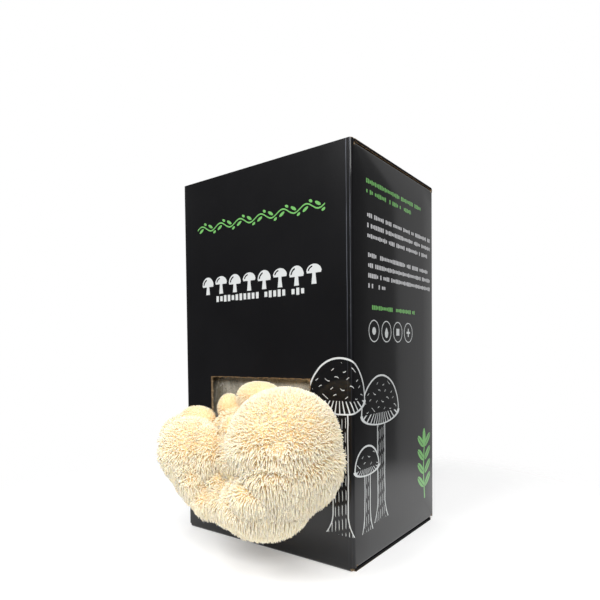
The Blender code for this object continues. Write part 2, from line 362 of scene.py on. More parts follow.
def ringMask(y, z):
    p = prints
    across, number = cell(y, p["ringFirst"] - p["ringEach"] / 2, p["ringEach"])
    up = z - p["ringMiddle"]
    away = oval(across, up, 1.0, 1.0)
    ring = abs(away - p["ringRadius"]) < p["ringLine"]
    dot = (away < 2.5) * (number < 0.5)
    drop = oval(across, up + 0.8, 2.4 - 0.42 * (up + 0.8).most(0.0), 3.6) < 1
    tile = (abs(across) < 2.4) * (abs(up) < 2.4)
    cross = (abs(across).least(abs(up)) < 0.75) * (abs(across).most(abs(up)) < 3.0)
    signs = (dot + drop * within(number, 0.5, 1.5) + tile * within(number, 1.5, 2.5)
             + cross * (number > 2.5))
    return ring.most(signs) * within(number, -0.5, p["rings"] - 0.5)


def sprigMask(y, z):
    p = prints
    side = y - p["sprigMiddle"]
    stem = (abs(side - 1.2 * wave(z, 60.0)) < 0.9) * within(z, p["sprigLow"], p["sprigHigh"] - 8)
    up, row = cell(z, p["sprigLow"] + 9, p["sprigEach"])
    a, b = turned(abs(side) - 6.4, up, 38)
    leaf = (oval(a, b, 7.2, 2.7) < 1) * (abs(b) > 0.28) * within(row, -0.5, 3.5)
    crown = oval(side, z - p["sprigHigh"] + 7.5, 2.9, 7.5) < 1
    return stem.most(leaf).most(crown)


def drawnCap(along, z, spec, wobble):
    # white lines of one drawn mushroom, and the area it covers
    middle, rim, half, dome, foot, stemHalf = spec
    across = along - middle + wobble * 1.5
    up = z - rim
    away = oval(across, up, half, dome)
    inCap = (away < 1) * (up > 0.0)
    skin = (abs(away - 1) * dome < 0.6) * (up > -0.3)
    under = oval(across, up, half, dome * 0.3)
    rimLine = (abs(under - 1) * dome * 0.3 < 0.45) * (up < 0.2)
    below = (under < 1) * (up < 0.2)
    fan = across.maths("ARCTAN2", across, up - dome * 0.5)
    gills = (abs(cell(fan, 0.0, 0.17)[0]) < 0.022) * below
    wide = stemHalf * (1 + 0.9 * ((foot + 14 - z) / 14).most(0.0) ** 2)
    inStem = (abs(across) < wide) * within(z, foot, rim)
    sides = (abs(abs(across) - wide) < 0.42) * within(z, foot, rim - dome * 0.24)
    dashes = cell(z + across * 3.1, 0.0, 9.0)[0] > -1.6
    grainLines = (abs(cell(across, 0.0, 2.6)[0]) < 0.2) * dashes * inStem * (z < rim - dome * 0.3)
    hatched = cell(across + up * 0.6, 0.0, 8.0)[0] > 1.4
    scales = (abs(cell(up + 1.4 * wave(across, 11.0), 0.0, 5.6)[0]) < 0.26) * hatched
    lines = skin.most(rimLine).most(gills).most(scales * inCap * (away < 0.9)).most(
        sides.most(grainLines) * (1 - below))
    return lines, inCap.most(below).most(inStem)


def laminate(name, printed):
    # black satin film on board: scuffs at its folds, bare fibre at the window, and the prints; on the
    # printed panels also painted highlights up the near fold
    sheet = Sheet(name)
    x, y, z = sheet.place()
    cloudy = sheet.grain(60, 3)
    fine = sheet.grain(1.1, 3)
    colour = sheet.mix(cloudy.ramp(0.35, 0.65), laminateBlack, tint(16, 16, 18))
    half, front = box["half"] / mm, box["front"] / mm
    if printed:
        along = x + (y - front)  # unrolled round the near corner
        wobble = sheet.grain(16, 1) - 0.5
        art = None
        for spec in drawnCaps:
            lines, covers = drawnCap(along, z, spec, wobble)
            art = lines if art is None else (art * (1 - covers)).most(lines)
        onFront = y < front + 2.3
        onSide = x > half - 2.3
        white = capsMask(x, z).most(dashMask(x, z)) * onFront
        white = white.most(ringMask(y, z) * onSide).most(art * (x > 0.0))
        grey, green = [
            [lineMask(y, z, *block) for block in lineBlocks[key]] for key in ("grey", "green")]
        greyAll = grey[0].most(grey[1]) * onSide
        greenAll = (green[0].most(green[1]).most(sprigMask(y, z)) * onSide).most(
            vineMask(x, z) * onFront)
        colour = sheet.mix(greyAll, colour, inkGrey)
        colour = sheet.mix(greenAll, colour, inkGreen)
        colour = sheet.mix(white, colour, inkWhite)
        # bare fibre round the torn window
        middleX = (window["left"] + window["right"]) / 2
        middleZ = (window["bottom"] + window["top"]) / 2
        outX = abs(x - middleX) - (window["right"] - window["left"]) / 2
        outZ = abs(z - middleZ) - (window["top"] - window["bottom"]) / 2
        out = outX.most(outZ)
        torn = (out + (sheet.grain(2.4, 3) - 0.5) * 1.3 < window["torn"] * 0.5) * onFront
        colour = sheet.mix(torn, colour, sheet.mix(fine, kraftDark, kraft))
    # scuffs where folds meet, and along them where the film has worn
    fold = (half - abs(x)).most(0.0) + abs(abs(y) + front)
    worn = (fold.ramp(2.6, 0.6) * sheet.grain(5, 4, 0.7, (1, 1, 0.25)).ramp(0.62, 0.72))
    corner = ((half - abs(x)).most(0.0) + (0.0 - front - abs(y)).most(0.0)
              + (box["top"] / mm - z).most(0.0))
    bare = (corner + (sheet.grain(1.6, 2) - 0.5) * 2.2) < 2.1
    colour = sheet.mix(worn * 0.35, colour, tint(96, 96, 100))
    if printed:
        # two painted highlights up the near fold: pale lines that stand in for light off the creased
        # film, stronger towards the top
        wander = (sheet.grain(30, 1) - 0.5) * 0.8
        creases = sum((abs(along + wander - place).ramp(0.42, 0.12) for place in folds["creases"]), 0.0)
        pale = creases * z.ramp(80, 250, 0.03, 0.42) * sheet.grain(7, 2, 0.5, (1, 1, 0.2)).ramp(0.2, 0.6)
        colour = sheet.mix(pale.least(1.0), colour, tint(132, 136, 146))
    colour = sheet.mix(bare, colour, kraft)
    rough = 0.3 + 0.08 * cloudy + 0.12 * worn
    height = sheet.grain(34, 2) * 0.25 + fine * 0.015 + wave(x + y, 3.1) * 0.01
    return sheet.shade(
        Base_Color=colour, Roughness=rough, Normal=sheet.bump(height, 0.4 * mm, 0.5),
        Specular_IOR_Level=0.12, Coat_Weight=0.55, Coat_Roughness=0.06)


def kraftFace():
    # the unprinted inside of the board
    sheet = Sheet("kraft_inside")
    fibre = sheet.grain(0.9, 4, 0.6, (1, 1, 0.3))
    cloudy = sheet.grain(14, 3)
    colour = sheet.mix(fibre.ramp(0.3, 0.7), tint(142, 112, 78), tint(186, 152, 112))
    colour = sheet.mix(cloudy.ramp(0.55, 0.75) * 0.4, colour, tint(128, 98, 68))
    x, y, z = sheet.place()
    groove = (abs(x) > box["half"] / mm - 2.8) * (z < 1.8)   # beside the bottom panel's folds
    colour = sheet.mix(groove, colour, laminateBlack)
    height = fibre + wave(x + y, 3.1) * 0.35
    return sheet.shade(Base_Color=colour, Roughness=0.82, Specular_IOR_Level=0.25,
                       Normal=sheet.bump(height, 0.12 * mm, 0.6))


def cutEdge():
    # the cut edge of the board: two liners and the fluting between them
    sheet = Sheet("board_edge")
    x, y, z = sheet.place()
    fibre = sheet.grain(0.7, 4, 0.65)
    flutes = abs(wave(x + y + z, 3.1)).ramp(0.1, 0.8)
    colour = sheet.mix(fibre.ramp(0.3, 0.7), tint(128, 108, 82), tint(178, 158, 128))
    colour = sheet.mix((1 - flutes) * 0.45, colour, kraftDark)
    # the rims along the sides are coloured black, all but a line that fades away from the front
    top = box["top"] / mm
    end = z.least(top - z)
    rim = (abs(x) > box["half"] / mm - 1.4) * (end < 1.75)
    line = (end < folds["rimLine"]) * y.ramp(-62, 0, 0.85, 0.0)
    colour = sheet.mix(rim * (1 - line), colour, laminateBlack)
    return sheet.shade(Base_Color=colour, Roughness=0.9, Specular_IOR_Level=0.2,
                       Normal=sheet.bump(fibre + flutes * 0.6, 0.25 * mm, 0.8))


def foldedSheet(name, panels, bow=True):
    # panels that share corners become one sheet: rounded at its folds, and bowed unless bow is off
    bm = bmesh.new()
    for outline in panels:
        bm.faces.new([bm.verts.new(corner) for corner in outline])
    bmesh.ops.remove_doubles(bm, verts=bm.verts, dist=box["gap"] / 10)
    bmesh.ops.recalc_face_normals(bm, faces=bm.faces)
    bm.faces.ensure_lookup_table()
    if bm.faces[0].normal.y > 0:
        bmesh.ops.reverse_faces(bm, faces=bm.faces)
    folds = [e for e in bm.edges if not e.is_boundary]
    bmesh.ops.bevel(bm, geom=folds, offset=box["foldOuter"], segments=box["foldSteps"],
                    affect="EDGES", profile=0.5, material=-1)
    if bow:
        bowPanels(bm)
    return objectFrom(name, bm)


def bowPanels(bm):
    low = Vector((-box["half"], box["front"], 0))
    high = Vector((box["half"], box["back"], box["top"]))
    for axis in range(3):
        cuts = round((high[axis] - low[axis]) / box["bowStep"])
        direction = Vector([1.0 if i == axis else 0.0 for i in range(3)])
        for cut in range(1, cuts):
            point = low + (high - low) * (cut / cuts)
            geometry = bm.verts[:] + bm.edges[:] + bm.faces[:]
            bmesh.ops.bisect_plane(bm, geom=geometry, dist=1e-6, plane_co=point, plane_no=direction)
    middle, half = (low + high) / 2, (high - low) / 2
    for vert in bm.verts:
        for axis, out in ((0, half.x), (1, half.y)):
            offset = vert.co[axis] - middle[axis]
            if abs(abs(offset) - out) > 1e-5:
                continue
            other = 1 - axis
            across = (vert.co[other] - middle[other]) / half[other]
            up = (vert.co.z - middle.z) / half.z
            swell = max(1 - across ** 2, 0) * max(1 - (up / box["bowEnd"]) ** 2, 0)
            vert.co[axis] += math.copysign(box["bow"] * swell, offset)


def bothSides(rightHalf):
    return rightHalf + [(-x, y, z) for x, y, z in reversed(rightHalf)]


def tuckFlap(foldY, endY, foldZ, endZ, halfWidth):
    end = halfWidth - box["tuckTaper"]
    outline = [(halfWidth, foldY, foldZ)]
    for step in range(box["tuckSteps"] + 1):
        turn = math.radians(90 * step / box["tuckSteps"])
        x = end - box["tuckCorner"] * (1 - math.cos(turn))
        share = 1 - box["tuckCorner"] * (1 - math.sin(turn)) / abs(endZ - foldZ)
        outline.append((x, foldY + (endY - foldY) * share, foldZ + (endZ - foldZ) * share))
    return bothSides(outline)


def sideWall(side):
    # a side panel, with a tab at each corner and a relief slit at each end of its folds
    x = side * box["half"]
    front, back, notch, relief = box["front"], box["back"], box["dustNotch"], box["relief"]
    near, far = (front + notch - relief, front + notch), (back - notch, back - notch + relief)
    room = box["foldRoom"]
    low, high = box["dustLow"] + room, box["dustHigh"] - room
    return [
        (x, front, room), (x, near[0], room), (x, near[0], low), (x, near[1], low),
        (x, near[1], box["dustLow"]), (x, far[0], box["dustLow"]), (x, far[0], low),
        (x, far[1], low), (x, far[1], room), (x, back, room), (x, back, box["backTop"]),
        (x, far[1], box["backTop"]), (x, far[1], high), (x, far[0], high),
        (x, far[0], box["dustHigh"]), (x, near[1], box["dustHigh"]), (x, near[1], high),
        (x, near[0], high), (x, near[0], box["frontTop"]), (x, front, box["frontTop"]),
    ]


def dustFlap(side, z):
    near, far = box["front"] + box["dustNotch"], box["back"] - box["dustNotch"]
    root, neck, tip = (box["half"] - length for length in (0, box["dustShoulder"], box["dustFlap"]))
    inset = box["dustShoulder"] + box["dustTaper"]
    shoulder = box["dustShoulder"] / 2
    return [(side * x, y, z) for x, y in (
        (root, near), (neck, near + shoulder), (tip, near + inset),
        (tip, far - inset), (neck, far - shoulder), (root, far))]


def cartonPanels():
    half, front, back, room = box["half"], box["front"], box["back"], box["foldRoom"]
    end, edge = half - room, half - box["gap"]
    side = edge - box["tuckSide"]
    tuckY = back - box["board"] - box["gap"]
    fold = 1.2 * room
    return [
        bothSides([(end, front, 0), (end, front, room), (half, front, room),
                   (half, front, box["frontTop"])]),
        sideWall(1),
        sideWall(-1),
        bothSides([(end, back, box["gap"]), (end, back, room), (half, back, room),
                   (half, back, box["backTop"])]),
        bothSides([(end, front, 0), (end, front + fold, 0), (edge, front + fold, 0),
                   (edge, tuckY - fold, 0), (side, tuckY - fold, 0), (side, tuckY, 0)]),
        tuckFlap(tuckY, tuckY, 0, box["tuckFlap"], side),
        dustFlap(1, box["dustHigh"]), dustFlap(-1, box["dustHigh"]),
        dustFlap(1, box["dustLow"]), dustFlap(-1, box["dustLow"]),
    ]


def thicken(obj, rimSlots):
    board = obj.modifiers.new("board", "SOLIDIFY")
    board.thickness = box["board"]
    board.offset = -1
    board.use_even_offset = True
    board.material_offset = rimSlots
    board.material_offset_rim = 2 * rimSlots
    return obj


def windowCutter(material):
    # the window's outline with its torn nubs, pushed through the front panel
    w = window
    bm = bmesh.new()
    corners = [bm.verts.new((x * mm, box["front"] - box["board"], z * mm)) for x, z in (
        (w["left"], w["bottom"]), (w["right"], w["bottom"]), (w["right"], w["top"]),
        (w["left"], w["top"]))]
    face = bm.faces.new(corners)
    bmesh.ops.bevel(bm, geom=corners, offset=w["corner"] * mm, segments=5, affect="VERTICES",
                    profile=0.5, material=-1)
    for edge in bm.edges[:]:
        cuts = int(edge.calc_length() / (w["step"] * mm))
        if cuts > 1:
            bmesh.ops.subdivide_edges(bm, edges=[edge], cuts=cuts)
    bm.faces.ensure_lookup_table()
    face = bm.faces[0]
    draw = random.Random(11)
    along, nextNub = 0.0, w["nubEvery"] * 0.4
    moves = []
    for loop in face.loops:
        here, past, ahead = loop.vert.co, loop.link_loop_prev.vert.co, loop.link_loop_next.vert.co
        inward = (ahead - past).cross(face.normal).normalized() * -1
        along += (here - past).length / mm
        push = draw.uniform(-1, 1) * w["ragged"]
        if along > nextNub:
            push += w["nubHigh"] * draw.uniform(0.5, 1.1)
            if along > nextNub + w["nubLong"] * draw.uniform(0.7, 1.6):
                nextNub = along + w["nubEvery"] * draw.uniform(0.75, 1.25)
        moves.append((loop.vert, inward * push * mm))
    for vert, move in moves:
        vert.co += move
    pushed = bmesh.ops.extrude_face_region(bm, geom=[face])["geom"]
    for vert in (v for v in pushed if isinstance(v, bmesh.types.BMVert)):
        vert.co.y += 4 * box["board"]
    bmesh.ops.recalc_face_normals(bm, faces=bm.faces)
    return objectFrom("window_cutter", bm, [material])


def makeCarton(plain, printed, inside, edge):
    obj = foldedSheet("carton_board", cartonPanels())
    mesh = obj.data
    for material in (plain, printed, inside, inside, edge, edge):
        mesh.materials.append(material)
    for face in mesh.polygons:
        faces = face.normal.y < -0.5 or (face.normal.x > 0.5 and face.center.x > box["half"] * 0.9)
        atWall = face.center.y < box["front"] + 3 * mm or face.center.x > box["half"] - 3 * mm
        face.material_index = 1 if faces and atWall else 0
    applied(thicken(obj, 2))

    cutter = windowCutter(edge)
    change = obj.modifiers.new("window", "BOOLEAN")
    change.object = cutter
    change.operation = "DIFFERENCE"
    change.solver = "EXACT"
    change.material_mode = "TRANSFER"
    applied(obj)
    bpy.data.objects.remove(cutter, do_unlink=True)
    finishPiece(obj, "kit", "carton_board", "carton")
    return obj


def makeGlueFlap(inside, edge):
    # the glued flap up the inside of the back, at the left corner
    low = Vector((-box["half"] + box["board"], box["back"] - 2 * box["board"] - 0.05 * mm,
                  box["glueEnd"]))
    high = Vector((low.x + box["glueFlap"], low.y + box["board"], box["top"] - box["glueEnd"]))
    bm = bmesh.new()
    bmesh.ops.create_cube(bm, size=1)
    for vert in bm.verts:
        vert.co = (low + high) / 2 + vert.co * (high - low)
    for vert in bm.verts:
        if vert.co.x > low.x + 1 * mm:
            vert.co.z += math.copysign(4 * mm, (low.z + high.z) / 2 - vert.co.z)
    bmesh.ops.bevel(bm, geom=bm.edges[:], offset=0.2 * mm, segments=2, affect="EDGES",
                    profile=0.5, material=-1)
    obj = objectFrom("glue_flap", bm, [inside, edge])
    for face in obj.data.polygons:
        face.material_index = 0 if abs(face.normal.y) > 0.8 else 1
    finishPiece(obj, "kit", "carton_board")


def makeLid(plain, inside, edge):
    half = box["half"] - box["gap"]
    side = half - box["tuckSide"]
    foldY = box["front"] + box["board"] + box["gap"]
    fold = 1.2 * box["foldRoom"]
    top, back = box["top"], box["back"] - box["lidClear"]
    obj = foldedSheet("lid_board", [
        tuckFlap(foldY, foldY + box["tuckLean"], top, top - box["tuckFlap"], side),
        bothSides([(side, foldY, top), (side, foldY + fold, top), (half, foldY + fold, top),
                   (half, back, top)]),
        bothSides([(half, back, box["hinge"]), (half, back, top)]),
    ], bow=False)
    for material in (plain, inside, edge):
        obj.data.materials.append(material)
    applied(thicken(obj, 1))
    finishPiece(obj, "lid", "carton_board", "lid")

    # the crease that carries the lid: the board's skin runs on over the gap
    bm = bmesh.new()
    bmesh.ops.create_grid(bm, x_segments=24, y_segments=10, size=0.5)
    low, high = box["backTop"] - 0.6 * mm, box["hinge"] + 0.6 * mm
    for vert in bm.verts:
        x, up, _ = vert.co
        vert.co = Vector((2 * x * half, back - 0.12 * mm, low + (up + 0.5) * (high - low)))
    bmesh.ops.recalc_face_normals(bm, faces=bm.faces)
    bm.faces.ensure_lookup_table()
    if bm.faces[0].normal.y < 0:
        bmesh.ops.reverse_faces(bm, faces=bm.faces)
    crease = objectFrom("lid_crease", bm, [plain, inside, edge])
    skin = crease.modifiers.new("skin", "SOLIDIFY")
    skin.thickness = 0.5 * mm
    skin.offset = -1
    skin.material_offset = 1
    skin.material_offset_rim = 2
    applied(crease)
    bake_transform(crease)


print("carton and lid")
plainBlack = laminate("black_laminate", printed=False)
printedBlack = laminate("printed_laminate", printed=True)
kraftInside, boardEdge = kraftFace(), cutEdge()
makeCarton(plainBlack, printedBlack, kraftInside, boardEdge)
makeGlueFlap(kraftInside, boardEdge)
makeLid(plainBlack, kraftInside, boardEdge)

blockLow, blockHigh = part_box("substrate_block")
bagLow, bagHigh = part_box("grow_bag")
block = {
    "corner": 8 * mm, "step": 2.2 * mm, "lump": 0.75 * mm, "inset": 0.5 * mm,
}
bag = {
    "corner": 8.5 * mm, "step": 1.7 * mm, "film": 0.12 * mm,
    "crumple": 0.62 * mm, "foldOver": 46 * mm, "foldBack": 6 * mm, "foldShare": 0.86,
    "top": 197.8 * mm,
}


def roundedBlock(low, high, corner, step):
    # a box with round edges, cut into a fine even grid
    bm = bmesh.new()
    bmesh.ops.create_cube(bm, size=1)
    centre, size = (Vector(low) + Vector(high)) / 2, Vector(high) - Vector(low)
    for vert in bm.verts:
        vert.co = centre + Vector([vert.co[i] * size[i] for i in range(3)])
    bmesh.ops.bevel(bm, geom=bm.edges[:], offset=corner, segments=4, affect="EDGES", profile=0.5,
                    material=-1)
    for axis in range(3):
        cuts = int(size[axis] / step)
        direction = Vector([1.0 if i == axis else 0.0 for i in range(3)])
        for cut in range(1, cuts):
            point = Vector(low) + size * (cut / cuts)
            geometry = bm.verts[:] + bm.edges[:] + bm.faces[:]
            bmesh.ops.bisect_plane(bm, geom=geometry, dist=1e-6, plane_co=point, plane_no=direction)
    bm.normal_update()
    return bm


def mycelium():
    # white mycelium over sawdust: bare tan patches, and crumbs
    sheet = Sheet("mycelium")
    cover = sheet.grain(22, 5, 0.6)
    crumbs = sheet.grain(3.2, 4, 0.65)
    fluff = sheet.grain(1.2, 3)
    wood = sheet.mix(crumbs.ramp(0.35, 0.65), tint(126, 96, 62), tint(178, 146, 104))
    white = sheet.mix(fluff.ramp(0.3, 0.7), tint(214, 206, 190), tint(243, 238, 226))
    bare = (cover + crumbs * 0.35).ramp(0.72, 0.82)
    colour = sheet.mix(bare, white, wood)
    return sheet.shade(Base_Color=colour, Roughness=0.92, Specular_IOR_Level=0.2,
                       Subsurface_Weight=0.12, Subsurface_Radius=(1.0, 0.7, 0.45),
                       Subsurface_Scale=2 * mm,
                       Normal=sheet.bump(crumbs + fluff * 0.4, 0.7 * mm, 0.8))


def makeBlock():
    inset = Vector([block["inset"]] * 3)
    bm = roundedBlock(blockLow + inset, blockHigh - inset, block["corner"], block["step"])
    for vert in bm.verts:
        lumps = noise.fractal(vert.co / (9 * mm), 0.7, 2.0, 4)
        vert.co += vert.normal * block["lump"] * max(min(lumps, 1), -1) * 0.8
    obj = objectFrom("mycelium_block", bm, [mycelium()], smooth=180)
    finishPiece(obj, "kit", "mycelium", "substrate_block")


def clearFilm():
    # thin film: more of it shows where it is creased, and it carries a little haze; painted shade
    # darkens it towards the left at the front, and painted glints run along its creases
    sheet = Sheet("clear_film")
    haze = sheet.grain(20, 4, 0.6)
    streaks = sheet.grain(9, 3, 0.6, (1, 1, 0.25))
    line = abs(sheet.grain(13, 2, 0.5, (1, 1, 0.45)) - 0.5).ramp(0.02, 0.0) * haze.ramp(0.45, 0.65)
    fog = (haze * 0.5 + streaks * 0.5).ramp(0.36, 0.66)
    x, y, z = sheet.place()
    clearOfPaintedShade = x.ramp(-46, -20).most(y.ramp(-57, -50))   # painted shade: at the front the film is darker towards the left
    # pale is the haze and the painted shade together: low at the left of the front, where the film is
    # painted darker and more opaque
    pale = (0.3 * clearOfPaintedShade + 0.7 * fog * (0.45 + 0.55 * clearOfPaintedShade)).least(1.0)
    behind = y.ramp(-57, -50)
    alpha = (0.66 - 0.34 * pale) * (1 - 0.55 * behind) + 0.12 * line
    # the dark olive end of the film's colour is painted shade
    colour = sheet.mix(pale.most(behind), tint(92, 86, 70), tint(214, 210, 197))
    # painted glints: the creases' lines are paler
    colour = sheet.mix(line * 0.4, colour, tint(222, 220, 212))
    return sheet.shade(Base_Color=colour, Roughness=0.16 + 0.14 * fog, Alpha=alpha,
                       Specular_IOR_Level=0.9,
                       Normal=sheet.bump(line + haze * 0.7, 0.5 * mm, 0.7))


def crumple(point):
    # folded film: ridges of noise that run into each other
    ridges = 0.0
    for size, share in ((26, 0.55), (11, 0.3), (5, 0.15)):
        value = noise.noise(point / (size * mm) + Vector((3.1, 7.7, size)))
        ridges += share * (1 - 2.6 * abs(value))
    return ridges


def makeBag(film):
    low = bagLow + Vector((0.6 * mm, 0.4 * mm, 0.2 * mm))
    high = Vector((bagHigh.x - 0.6 * mm, bagHigh.y - 0.4 * mm, bag["top"]))
    bm = roundedBlock(low, high, bag["corner"], bag["step"] * 1.6)
    for vert in bm.verts:
        lift = bag["crumple"] * crumple(vert.co)
        vert.co += vert.normal * max(min(lift, 0.7 * mm), -0.5 * mm)
    neck = Vector((6 * mm, bagLow.y, 74 * mm))
    slit = [f for f in bm.faces
            if f.normal.y < -0.6 and oval2(f.calc_center_median() - neck, 31 * mm, 26 * mm) < 1]
    bmesh.ops.delete(bm, geom=slit, context="FACES")
    obj = objectFrom("film_bag", bm, [film], smooth=180)
    skin = obj.modifiers.new("film", "SOLIDIFY")
    skin.thickness = bag["film"]
    skin.offset = -1
    applied(obj, 180)
    finishPiece(obj, "kit", "clear_film", "grow_bag")


def oval2(offset, halfWidth, halfHeight):
    return (offset.x / halfWidth) ** 2 + (offset.z / halfHeight) ** 2


def makeFoldedTop(film):
    # the bag's mouth, rolled down and lying flat on the block as one crumpled sheet
    half = bagHigh.x * bag["foldShare"]
    end = bagHigh.y - bag["foldBack"]
    start = end - bag["foldOver"]
    bm = bmesh.new()
    bmesh.ops.create_grid(bm, x_segments=110, y_segments=40, size=0.5)
    for vert in bm.verts:
        x, y, _ = vert.co
        across, along = x * 2 * half, start + (y + 0.5) * (end - start)
        place = Vector((across, along, 0))
        edge = min(1, (0.5 - abs(y)) * 10)
        ripple = noise.noise(Vector((across / (5 * mm), along / (40 * mm), 0)))
        lift = (1.1 + 0.5 * ripple + 0.35 * crumple(place)) * mm * edge
        vert.co = Vector((across, along, bag["top"] + 0.15 * mm + max(lift, 0)))
    obj = objectFrom("film_fold", bm, [film], smooth=180)
    skin = obj.modifiers.new("film", "SOLIDIFY")
    skin.thickness = 0.35 * mm
    skin.offset = -1
    applied(obj, 180)
    finishPiece(obj, "kit", "clear_film")


print("block and bag")
makeBlock()
clearMaterial = clearFilm()
makeBag(clearMaterial)
makeFoldedTop(clearMaterial)

# Lobes of the mushroom out to the spines' tips: middle and half sizes, in millimetres
lobes = {
    "main": ((51.7, -101, 83.2), (32.9, 36, 34.6)),
    "belly": ((55.4, -101, 70), (26.1, 34.5, 32.1)),
    "right": ((66, -99, 72.6), (19.2, 28, 28.3)),
    "low": ((40.1, -105, 47.7), (28.2, 28, 22.1)),
    "ledge": ((48, -123.5, 57), (16, 14, 14)),
    "lowLeft": ((7.3, -99, 41.2), (19.9, 15, 18.3)),
    "lowIn": ((-9.9, -101, 39.6), (13.6, 13.5, 14)),
    "left": ((-30.4, -99, 69.2), (25.2, 21, 25.6)),
    "leftIn": ((-13.2, -101, 68), (14.5, 12, 23.3)),
    "leftMid": ((-25.4, -98, 61.4), (19.7, 20, 27.2)),
    "leftLow": ((-19.5, -99, 52.5), (13.5, 18, 22.5)),
    "leftFill": ((-18.7, -101, 48), (14.2, 14.5, 14.6)),
    "creaseFill": ((-1.4, -102, 52.4), (9.7, 8, 10.4)),
    "leftOut": ((-46.7, -94, 75.4), (16.4, 16, 19.3)),
    "leftUp": ((-38.1, -86, 89.4), (16.5, 10.5, 11.1)),
    "shoulder": ((0.4, -92, 86.8), (6.6, 10, 10.4)),
    "top": ((14, -80, 107.6), (17.5, 12, 11.3)),
    "bud": ((-17, -76, 99), (8.8, 8.5, 10.5)),
}
cores = {
    "heart": ((18, -88, 70), (32, 18, 22)),
    "throat": ((6, -72, 76), (33, 9, 28)),
    "budRoot": ((-11, -75, 90), (9, 6, 13)),
    "leftUpRoot": ((-34, -85, 82), (9, 7, 13)),
}
# lobes with short, velvety spines, and how short
smoothLobes = {"top": 0.75, "bud": 1.0, "leftUp": 0.8, "shoulder": 0.3}
mushroom = {
    "voxel": 1.3 * mm, "smooth": 8,
    "spineTop": 2.6 * mm, "spineUnder": 7.5 * mm,
    "neckX": 6 * mm, "neckZ": 74 * mm, "neckWide": 33 * mm, "neckHigh": 28 * mm,
    "spacing": 0.7 * mm,           # least distance between two spines' roots
    "tries": 180000,
    "rootRadius": 0.42 * mm, "tipShare": 0.55,
    "short": 2.5 * mm, "long": 6.8 * mm,
    "velvet": 0.62,                # how much shorter the spines are on the smoothest lobes
    "hangFrom": 0.22, "hangFull": -0.4, "bareBack": 0.6, "bareNeck": 3 * mm,
    "perPiece": 7100,
}
# small hollows between the spines: place and radius, in millimetres
pits = (
    ((71.1, -129.4, 89.3), 2.4), ((68.8, -131.8, 81.9), 1.5), ((61, -131.2, 99.3), 1.5),
    ((69.2, -126.9, 98.7), 1.3), ((66.9, -132.5, 88.3), 1.4), ((61.5, -135, 88.1), 1.2),
    ((3.9, -100.5, 87), 1.9), ((79.7, -119.4, 87.6), 1.3), ((52.5, -136.7, 78.9), 1.3),
    ((74.7, -124.6, 93), 1.2), ((76.9, -122.1, 73.1), 1.5), ((77.6, -121.3, 70.2), 1.7),
    ((78.2, -120, 67.2), 1.6), ((78.7, -118.6, 64.4), 1.3),
)


def addBall(bm, middle, half):
    made = bmesh.ops.create_icosphere(bm, subdivisions=5, radius=1)
    for vert in made["verts"]:
        vert.co = middle + Vector([a * b for a, b in zip(vert.co, half)])


def makeFlesh():
    # the fused body under the spines
    m = mushroom
    bm = bmesh.new()
    for name, (middle, half) in lobes.items():
        keep = 1 - m["velvet"] * smoothLobes.get(name, 0)
        rise = keep * (m["spineUnder"] - m["spineTop"]) / 2
        cover = keep * Vector((m["spineTop"], m["spineTop"], (m["spineTop"] + m["spineUnder"]) / 2))
        addBall(bm, Vector(middle) * mm + Vector((0, 0, rise)), Vector(half) * mm - cover)
    for middle, half in cores.values():
        addBall(bm, Vector(middle) * mm, Vector(half) * mm)
    front, back = box["front"] - 24 * mm, blockLow.y - box["gap"]
    bar = bmesh.ops.create_cone(bm, cap_ends=True, segments=64, radius1=1, radius2=1, depth=1)
    for vert in bar["verts"]:
        x, y, z = vert.co
        vert.co = (m["neckX"] + x * (m["neckWide"] - 1.5 * mm), (front + back) / 2 + z * (back - front),
                   m["neckZ"] - y * (m["neckHigh"] - 1.5 * mm))
    obj = objectFrom("mushroom_flesh", bm)
    fuse = obj.modifiers.new("fuse", "REMESH")
    fuse.mode = "VOXEL"
    fuse.voxel_size = m["voxel"]
    relax = obj.modifiers.new("relax", "SMOOTH")
    relax.factor = 0.5
    relax.iterations = m["smooth"]
    return applied(obj, 180)


def velvet(point):
    # how smooth the lobe is that a point belongs to, 0 to 1
    best, value = 1e9, 0.0
    for name, (middle, half) in lobes.items():
        away = (point / mm - Vector(middle))
        far = Vector([a / b for a, b in zip(away, half)]).length
        if far < best:
            best, value = far, smoothLobes.get(name, 0.0)
    return value


def plantRoots(tree, mesh):
    # roots spread over the body with a least distance between them
    m = mushroom
    mesh.calc_loop_triangles()
    triangles = np.array([t.vertices[:] for t in mesh.loop_triangles])
    points = np.zeros(len(mesh.vertices) * 3)
    mesh.vertices.foreach_get("co", points)
    a, b, c = (points.reshape(-1, 3)[triangles[:, i]] for i in range(3))
    area = np.linalg.norm(np.cross(b - a, c - a), axis=1)
    draw = np.random.default_rng(5)
    pick = draw.choice(len(area), m["tries"], p=area / area.sum())
    u, v = draw.random((2, m["tries"], 1))
    flip = (u + v) > 1
    u, v = np.where(flip, 1 - u, u), np.where(flip, 1 - v, v)
    spots = a[pick] + (b - a)[pick] * u + (c - a)[pick] * v
    normals = np.zeros(len(mesh.vertices) * 3)
    mesh.vertices.foreach_get("normal", normals)
    na, nb, nc = (normals.reshape(-1, 3)[triangles[:, i]] for i in range(3))
    facing = na[pick] * (1 - u - v) + nb[pick] * u + nc[pick] * v
    facing /= np.linalg.norm(facing, axis=1)[:, None]
    outer = (facing[:, 1] < m["bareBack"]) & (spots[:, 1] < box["front"] - m["bareNeck"])
    spots, facing = spots[outer], facing[outer]
    kept = spreadOut(spots / m["spacing"])
    return spots[kept], facing[kept]


